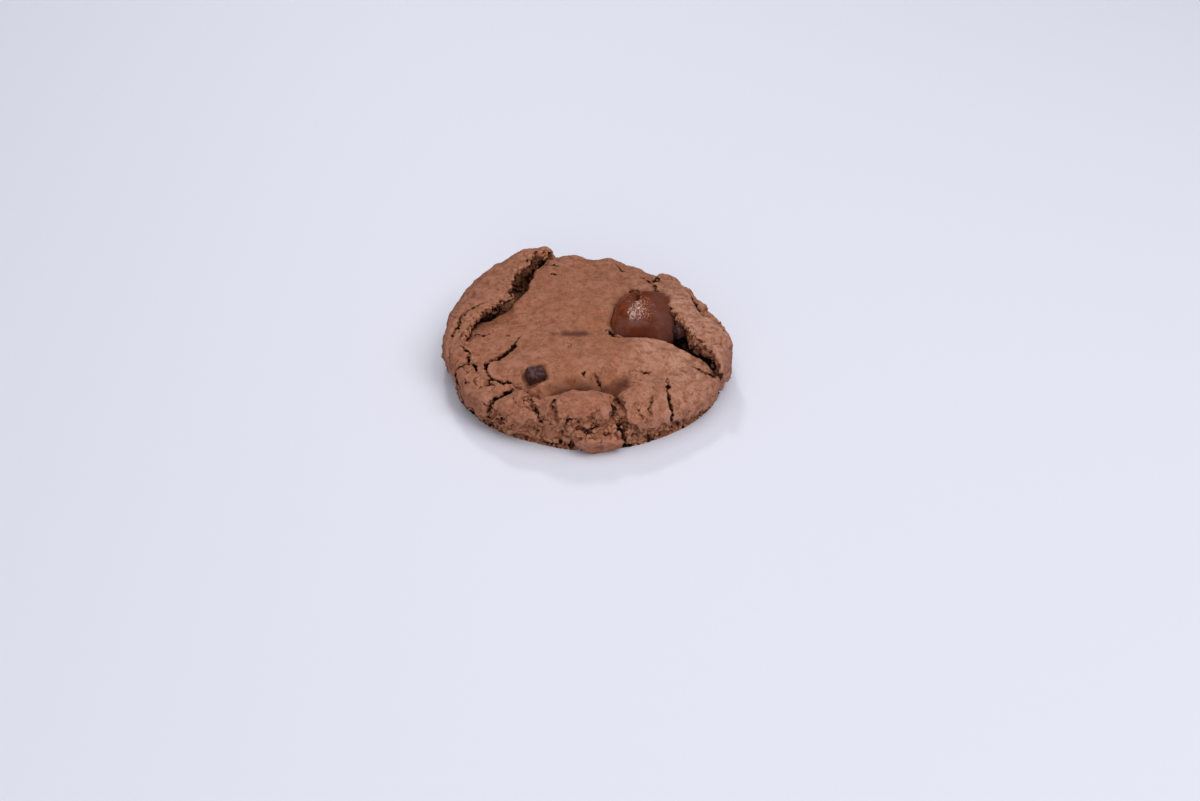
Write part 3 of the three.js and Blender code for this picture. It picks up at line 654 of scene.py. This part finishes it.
# only the outer skin is kept: slivers are closed over, and bubbles shut in the dough deleted
bpy.ops.object.mode_set(mode="EDIT")
bpy.ops.mesh.select_mode(type="VERT")
for again in range(3):
    bpy.ops.mesh.select_all(action="DESELECT")
    bpy.ops.mesh.select_non_manifold()
    bpy.ops.mesh.delete(type="VERT")
    bpy.ops.mesh.select_all(action="SELECT")
    bpy.ops.mesh.fill_holes(sides=0)
    bpy.ops.mesh.quads_convert_to_tris()
bpy.ops.mesh.select_all(action="DESELECT")
bpy.ops.object.mode_set(mode="OBJECT")
highest = int(readPlaces(cookie.data)[:, 2].argmax())
cookie.data.vertices[highest].select = True
bpy.ops.object.mode_set(mode="EDIT")
bpy.ops.mesh.select_linked()
bpy.ops.mesh.select_all(action="INVERT")
bpy.ops.mesh.delete(type="VERT")
bpy.ops.object.mode_set(mode="OBJECT")
p = readPlaces(cookie.data)
p[:, 2] = np.maximum(p[:, 2], 0)
writePlaces(cookie.data, (p + dough["shift"]) * mm)
bpy.ops.object.shade_smooth()
print("stage: cookie", len(cookie.data.polygons))


def chocolate(name, shape):
    bpy.ops.object.select_all(action="DESELECT")
    bpy.ops.mesh.primitive_uv_sphere_add(segments=shape["segments"], ring_count=shape["rings"], radius=1)
    o = bpy.context.object
    o.name = name
    p = readPlaces(o.data)
    p *= shape["half"] / blockShare(p, shape)[:, None]
    groove = shape.get("groove")
    if groove:
        away = np.abs(p[:, 0] - groove["x"]) / groove["width"]
        cut = ease(p[:, 1], groove["end"], groove["end"] + groove["fade"]) * (1 - ease(away, 0, 1)) * (p[:, 2] > 0)
        p[:, 2] -= groove["depth"] * cut
        writeMask(o.data, "groove", cut)
    p = p @ turnOf(shape).T + shape["at"] + np.array(dough["shift"])
    writePlaces(o.data, p * mm)
    bpy.ops.object.shade_smooth()
    return o


chunkPiece = chocolate("chunk_melted", chunk)
frontPiece = chocolate("chip_front", frontChip)
rightPiece = chocolate("chip_right", rightChip)
print("stage: chocolate")

# deep: how shut in each place is, by rays that start off its skin
hollows = {"rays": 16, "reach": 8.0, "start": 0.05, "spread": 0.92, "edgeTurns": 4, "edgeHeight": 0.5}
me = cookie.data
me.calc_loop_triangles()
tris = np.empty(len(me.loop_triangles) * 3, np.int32)
me.loop_triangles.foreach_get("vertices", tris)
tris = tris.reshape(-1, 3)
p, n = readPlaces(me), readNormals(me)
solids, faces = [p], tris.tolist()
for o in (chunkPiece, frontPiece, rightPiece):
    first = sum(map(len, solids))
    faces += [[v + first for v in f.vertices] for f in o.data.polygons]
    solids.append(readPlaces(o.data))
hitTree = BVHTree.FromPolygons(np.vstack(solids).tolist(), faces)
side = np.cross(n, np.where(np.abs(n[:, 2:3]) < 0.9, [[0, 0, 1.0]], [[1.0, 0, 0]]))
side /= np.linalg.norm(side, axis=1)[:, None]
across = np.cross(n, side)
starts = (p + n * hollows["start"] * mm).tolist()
reach = hollows["reach"] * mm
shut = np.zeros(len(p))
for step in np.arange(hollows["rays"]) + 0.5:
    lift = np.sqrt(1 - hollows["spread"] * step / hollows["rays"])
    spin = step * np.pi * (3 - np.sqrt(5))
    way = n * lift + (side * np.cos(spin) + across * np.sin(spin)) * np.sqrt(1 - lift ** 2)
    for i, (a, d) in enumerate(zip(starts, way.tolist())):
        hit = hitTree.ray_cast(a, d, reach)[3]
        if hit is not None:
            shut[i] += 1 - 0.5 * hit / reach
writeMask(me, "deep", shut / hollows["rays"])

# edge: how far each place stands out of its neighbours
pairs = np.vstack([tris[:, [0, 1]], tris[:, [1, 2]], tris[:, [2, 0]]])
mean, count = np.zeros((len(p), 3)), np.bincount(pairs.ravel(), minlength=len(p))
smooth = p
for again in range(hollows["edgeTurns"]):
    for axis in range(3):
        mean[:, axis] = (np.bincount(pairs[:, 0], smooth[pairs[:, 1], axis], len(p))
                         + np.bincount(pairs[:, 1], smooth[pairs[:, 0], axis], len(p))) / np.maximum(count, 1)
    smooth = mean.copy()
writeMask(me, "edge", 0.5 + ((p - smooth) * n).sum(1) / (hollows["edgeHeight"] * mm))

# marks and painted shade: a smear of chocolate on the plateau, painted shade along the front crease and in the dip
# right of it, and a painted shadow round the melted chunk's foot
stainsAndShades = [      # places in plan, half width, share
    # a smear of chocolate on the plateau, a real mark
    ([(-6.2, -4.0), (-3.6, -4.1), (-1.2, -4.1)], 2.6, 1.0),
    ([(-10, -4.5), (0.9, -4.3)], 1.3, 0.6),
    # painted shade along the front crease, darkest in a line at its bottom
    ([(-9.4, -28.4), (-7.2, -27.2), (-3, -26.2), (1.1, -26.1), (3.9, -26.0)], 2.1, 0.45),
    ([(-9, -29.4), (-7, -28.3), (-3, -27.3), (1.1, -27.2), (4, -27.1), (7.5, -26.8)], 1.6, 1.0),
    # a faint darker patch on the left lump
    ([(-38, -9.5), (-35.5, -7.5)], 3.2, 0.22),
    # painted shadow in the dip right of the crease
    ([(5.0, -26.3), (7.6, -25.9), (10.8, -24.0)], 2.3, 0.9),
]
# painted shadow round the melted chunk's foot, wider on its left side
chunkFootShade = {"share": 0.38, "width": 0.9, "leftWidth": 2.0, "leftReach": 8}
q = p / mm - dough["shift"]
away = fromChocolate(q, chunk)
q = swayed(q, [(0.6, 2, (3.1, 9.1))])
width = chunkFootShade["width"] + chunkFootShade["leftWidth"] * ease(chunk["at"][0] - q[:, 0], 0, chunkFootShade["leftReach"])
stainedAndShaded = chunkFootShade["share"] * (1 - ease(away / width, 0, 1))
for path, half, share in stainsAndShades:
    away = np.abs(beyond(path, q[:, 0], q[:, 1]))
    stainedAndShaded = np.maximum(stainedAndShaded, share * (1 - ease(away / half, 0.15, 1.0)))
# the mask holds the real smear together with the painted shade and shadows
writeMask(me, "stainAndShade", stainedAndShaded * (p[:, 2] > 8 * mm))
print("stage: hollows")


def newMaterial(name):
    m = bpy.data.materials.new(name)
    m.use_nodes = True
    return m, m.node_tree, m.node_tree.nodes["Principled BSDF"]


# a node with its settings; a socket among the inputs is linked, anything else is set
def put(tree, kind, inputs=None, **settings):
    n = tree.nodes.new(kind)
    for name, value in settings.items():
        setattr(n, name, value)
    for name, value in (inputs or {}).items():
        if isinstance(value, bpy.types.NodeSocket):
            tree.links.new(value, n.inputs[name])
        else:
            n.inputs[name].default_value = value
    return n


def placeInMm(tree):
    place = put(tree, "ShaderNodeTexCoord").outputs["Object"]
    return put(tree, "ShaderNodeVectorMath", {0: place, 3: 1 / mm}, operation="SCALE").outputs[0]


def speckle(tree, place, size, detail=3.0, rough=0.55, distortion=0.0):
    return put(tree, "ShaderNodeTexNoise", {"Vector": place, "Scale": 1 / size, "Detail": detail,
                                            "Roughness": rough, "Distortion": distortion}).outputs[0]


def remap(tree, value, a, b, low=0.0, high=1.0):
    return put(tree, "ShaderNodeMapRange", {0: value, 1: a, 2: b, 3: low, 4: high}).outputs[0]


def times(tree, a, b):
    return put(tree, "ShaderNodeMath", {0: a, 1: b}, operation="MULTIPLY").outputs[0]


def plus(tree, a, b):
    return put(tree, "ShaderNodeMath", {0: a, 1: b}, operation="ADD").outputs[0]


def attribute(tree, name):
    return put(tree, "ShaderNodeAttribute", attribute_name=name).outputs["Fac"]


# tints laid over a first tone one after another, each by its share
def tinted(tree, tone, coats):
    for share, tint in coats:
        n = put(tree, "ShaderNodeMix", {0: share, 7: (*tint, 1)}, data_type="RGBA")
        if isinstance(tone, bpy.types.NodeSocket):
            tree.links.new(tone, n.inputs[6])
        else:
            n.inputs[6].default_value = (*tone, 1)
        tone = n.outputs[2]
    return tone


def bumped(tree, shader, height, distance, strength=1.0):
    bump = put(tree, "ShaderNodeBump", {"Strength": strength, "Distance": distance * mm, "Height": height})
    tree.links.new(bump.outputs[0], shader.inputs["Normal"])


doughTones = {
    "crust": (0.332, 0.111, 0.053), "pale": (0.590, 0.335, 0.238), "grain": (0.440, 0.180, 0.096),
    "dark": (0.200, 0.062, 0.028), "bare": (0.335, 0.134, 0.080), "hollowShade": (0.034, 0.013, 0.006),
    "edge": (0.46, 0.22, 0.13), "stainAndShade": (0.080, 0.021, 0.016), "plum": (0.395, 0.172, 0.124),
    "fleck": (0.62, 0.44, 0.33),
}
doughLook, tree, shader = newMaterial("doughLook")
place = placeInMm(tree)
sides = put(tree, "ShaderNodeSeparateXYZ", {0: place}).outputs
bare, edge, deep = (attribute(tree, name) for name in ("crumb", "edge", "deep"))
grain = speckle(tree, place, 0.55, 3, 0.65)
pores = remap(tree, speckle(tree, place, 0.85, 2, 0.5, 0.8), 0.62, 0.70)
broad = remap(tree, speckle(tree, place, 9.0, 3), 0.36, 0.66, 0.0, 0.34)
# lighter in broad random patches, and lighter towards the right (+X): painted light from the right
pale = plus(tree, broad, remap(tree, sides["X"], 8, 33))
level = put(tree, "ShaderNodeVectorMath", {0: place, 1: (1, 1, 0)}, operation="MULTIPLY").outputs[0]
fromMiddle = put(tree, "ShaderNodeVectorMath", {0: level}, operation="LENGTH").outputs["Value"]
plum = remap(tree, speckle(tree, place, 13.0, 2, 0.5), 0.47, 0.66, 0.0, 0.4)
plum = plus(tree, plum, remap(tree, fromMiddle, 24, 37, 0.0, 0.55))
fleckCells = put(tree, "ShaderNodeTexVoronoi", {"Vector": place, "Scale": 1 / 4.2}).outputs
fleck = remap(tree, fleckCells["Distance"], 0.085, 0.05, 0.0, 0.7)
fleck = times(tree, fleck, remap(tree, fleckCells["Color"], 0.60, 0.62))
# crumb points that stand out: lighter broken crumb there, plus a painted highlight
standingHighlight = times(tree, remap(tree, edge, 0.56, 0.85), remap(tree, bare, 0.0, 0.6, 0.12, 0.6))
tone = tinted(tree, doughTones["crust"], [
    # painted light: lighter towards the right, over random lighter patches
    (pale, doughTones["pale"]),
    # painted shade: the top darker towards the back (+Y), away from the light
    (remap(tree, sides["Y"], 6, 30, 0.0, 0.6), doughTones["dark"]),
    (plum, doughTones["plum"]),
    (remap(tree, speckle(tree, place, 2.4, 5, 0.70, 0.4), 0.42, 0.60, 0.0, 0.78), doughTones["dark"]),
    (fleck, doughTones["fleck"]),
    (times(tree, bare, 0.85), doughTones["bare"]),
    (times(tree, pores, 0.28), doughTones["dark"]),
    (remap(tree, grain, 0.38, 0.66, 0.0, 0.55), doughTones["grain"]),
    # the chocolate smear, plus painted shade in the crease and dip and a painted shadow round the chunk
    (times(tree, attribute(tree, "stainAndShade"), 0.85), doughTones["stainAndShade"]),
    # painted highlight on crumb points that stand out, over lighter crumb
    (standingHighlight, doughTones["edge"]),
    # painted shade in sunken, concave places
    (remap(tree, edge, 0.47, 0.25, 0.0, 0.55), doughTones["dark"]),
    # painted shade where the dough is shut in: ambient occlusion painted into the colour
    (remap(tree, deep, 0.14, 0.45, 0.0, 0.5), doughTones["dark"]),
    # painted shade: near black where the dough is most shut in, in gaps and under the flaps
    (remap(tree, deep, 0.47, 0.70), doughTones["hollowShade"]),
])
tree.links.new(tone, shader.inputs["Base Color"])
height = plus(tree, times(tree, grain, 0.5), times(tree, speckle(tree, place, 0.19, 2, 0.6), 0.35))
height = plus(tree, height, times(tree, pores, -0.45))
bumped(tree, shader, height, 0.42)
shader.inputs["Roughness"].default_value = 0.72
shader.inputs["Specular IOR Level"].default_value = 0.28

# lighter grey-lilac patches on chocolate, used on both the melted chunk and the chips: on the chunk a painted sheen
# (painted reflection), on the chips real chocolate bloom
bloomAndSheenGroup = bpy.data.node_groups.new("chocolateBloomAndSheen", "ShaderNodeTree")
bloomAndSheenGroup.interface.new_socket("Place", in_out="INPUT", socket_type="NodeSocketVector")
for name in ("Scale", "Low", "High", "Amount"):
    bloomAndSheenGroup.interface.new_socket(name, in_out="INPUT", socket_type="NodeSocketFloat")
bloomAndSheenGroup.interface.new_socket("BloomAndSheen", in_out="OUTPUT", socket_type="NodeSocketFloat")
given = bloomAndSheenGroup.nodes.new("NodeGroupInput").outputs
patches = put(bloomAndSheenGroup, "ShaderNodeTexNoise", {"Vector": given["Place"], "Scale": given["Scale"], "Detail": 4,
                                                 "Roughness": 0.6, "Distortion": 0.3}).outputs[0]
patches = remap(bloomAndSheenGroup, patches, given["Low"], given["High"], 0.0, given["Amount"])
bloomAndSheenGroup.links.new(patches, bloomAndSheenGroup.nodes.new("NodeGroupOutput").inputs["BloomAndSheen"])


def bloomAndSheenOn(tree, place, size, low, high, amount):
    values = {"Place": place, "Scale": 1 / size, "Low": low, "High": high, "Amount": amount}
    return put(tree, "ShaderNodeGroup", values, node_tree=bloomAndSheenGroup).outputs["BloomAndSheen"]


chunkTones = {"body": (0.215, 0.050, 0.020), "dark": (0.066, 0.013, 0.006), "bloomAndSheen": (0.170, 0.074, 0.060)}
chunkLook, tree, shader = newMaterial("chunkLook")
place = placeInMm(tree)
sides = put(tree, "ShaderNodeSeparateXYZ", {0: place}).outputs
# painted reflection: a grey-lilac sheen in patches, stronger towards the right (+X)
bloomAndSheen = plus(tree, bloomAndSheenOn(tree, place, 6.0, 0.45, 0.68, 0.6), remap(tree, sides["X"], 17, 25, 0.0, 0.4))
tone = tinted(tree, chunkTones["body"], [
    (remap(tree, speckle(tree, place, 3.2, 4, 0.6, 0.2), 0.35, 0.68, 0.1, 0.75), chunkTones["dark"]),
    # painted shade: the chunk darker towards its front (-Y), on its lower front face
    (remap(tree, sides["Y"], -5, 6, 0.9, 0.0), chunkTones["dark"]),
    # painted reflection: grey-lilac sheen
    (bloomAndSheen, chunkTones["bloomAndSheen"]),
    # painted shadow under the right flap's lip: darker towards the right (+X)
    (remap(tree, sides["X"], 17, 26, 0.0, 0.6), chunkTones["dark"]),
    # painted shade in the groove
    (times(tree, attribute(tree, "groove"), 0.8), chunkTones["dark"]),
])
tree.links.new(tone, shader.inputs["Base Color"])
grease = remap(tree, speckle(tree, place, 1.1, 3, 0.6, 0.5), 0.40, 0.60, 0.09, 0.22)
tree.links.new(grease, shader.inputs["Roughness"])
patchy = remap(tree, speckle(tree, place, 5.0, 1), 0.42, 0.58, 0.25, 1.0)
bumped(tree, shader, times(tree, speckle(tree, place, 0.55, 1.5, 0.5), patchy), 0.17)
shader.inputs["Specular IOR Level"].default_value = 0.35
shader.inputs["Specular Tint"].default_value = (1.0, 0.68, 0.56, 1)

chipTones = {"body": (0.045, 0.014, 0.012), "bloomAndSheen": (0.120, 0.062, 0.062)}
chipLook, tree, shader = newMaterial("chipLook")
place = placeInMm(tree)
tone = tinted(tree, chipTones["body"], [(bloomAndSheenOn(tree, place, 1.2, 0.45, 0.7, 1.0), chipTones["bloomAndSheen"])])
tree.links.new(tone, shader.inputs["Base Color"])
bumped(tree, shader, speckle(tree, place, 0.6, 3, 0.6), 0.2, 0.5)
shader.inputs["Roughness"].default_value = 0.5
shader.inputs["Specular IOR Level"].default_value = 0.3

for piece, look, node, slot in [
    (cookie, doughLook, "cookie", "dough"),
    (chunkPiece, chunkLook, "chocolate_chunk", "melted_chocolate"),
    (frontPiece, chipLook, "front_chip", "dark_chocolate"),
    (rightPiece, chipLook, "right_chip", "dark_chocolate"),
]:
    piece.data.materials.clear()
    piece.data.materials.append(look)
    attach(piece, "root")
    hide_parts(node)
print("stage: materials")

# in metres
studio = {
    "floor": (0.73, 0.735, 0.83), "sky": (0.93, 0.95, 1.0), "skyStrength": 0.28, "aim": (0, 0, 0.01),
    "lights": [     # name, place, size, power, whether gloss shows it
        ("windowBack", (-0.12, 0.56, 0.53), 0.12, 1.12, True),
        ("keyRight", (0.50, -0.22, 0.80), 0.7, 4.0, False),
        ("overhead", (0.0, 0.05, 1.1), 1.2, 4.45, False),
        ("fillFront", (-0.10, -0.95, 0.22), 0.8, 4.2, False),
    ],
}
bpy.ops.object.select_all(action="DESELECT")
bpy.ops.mesh.primitive_plane_add(size=6)
floor = bpy.context.object
floor.name = "floor"
floorLook, tree, shader = newMaterial("floorLook")
shader.inputs["Base Color"].default_value = (*studio["floor"], 1)
shader.inputs["Roughness"].default_value = 0.6
floor.data.materials.append(floorLook)
floor.visible_glossy = False     # no pale line round the shining chunk

world = bpy.data.worlds.new("studioSky")
scene.world = world
world.use_nodes = True
world.cycles_visibility.glossy = False
world.node_tree.nodes["Background"].inputs["Color"].default_value = (*studio["sky"], 1)
world.node_tree.nodes["Background"].inputs["Strength"].default_value = studio["skyStrength"]

for name, place, size, power, shines in studio["lights"]:
    light = bpy.data.lights.new(name, "AREA")
    light.shape = "DISK"
    light.size = size
    light.energy = power
    lightObject = bpy.data.objects.new(name, light)
    scene.collection.objects.link(lightObject)
    lightObject.location = place
    lightObject.visible_glossy = shines
    lightObject.rotation_euler = (Vector(studio["aim"]) - Vector(place)).to_track_quat("-Z", "Y").to_euler()

view = {"place": (0.004012, -0.384890, 0.2799), "tilt": 52.8, "roll": 0.95, "lens": 48, "sensor": 36}
camera = bpy.data.cameras.new("camera")
camera.lens = view["lens"]
camera.sensor_width = view["sensor"]
cameraObject = bpy.data.objects.new("camera", camera)
scene.collection.objects.link(cameraObject)
turned = Matrix.Rotation(np.radians(view["tilt"]), 4, "X") @ Matrix.Rotation(np.radians(view["roll"]), 4, "Z")
cameraObject.matrix_world = Matrix.Translation(view["place"]) @ turned
scene.camera = cameraObject
scene.view_settings.view_transform = "Standard"
print("stage: studio")
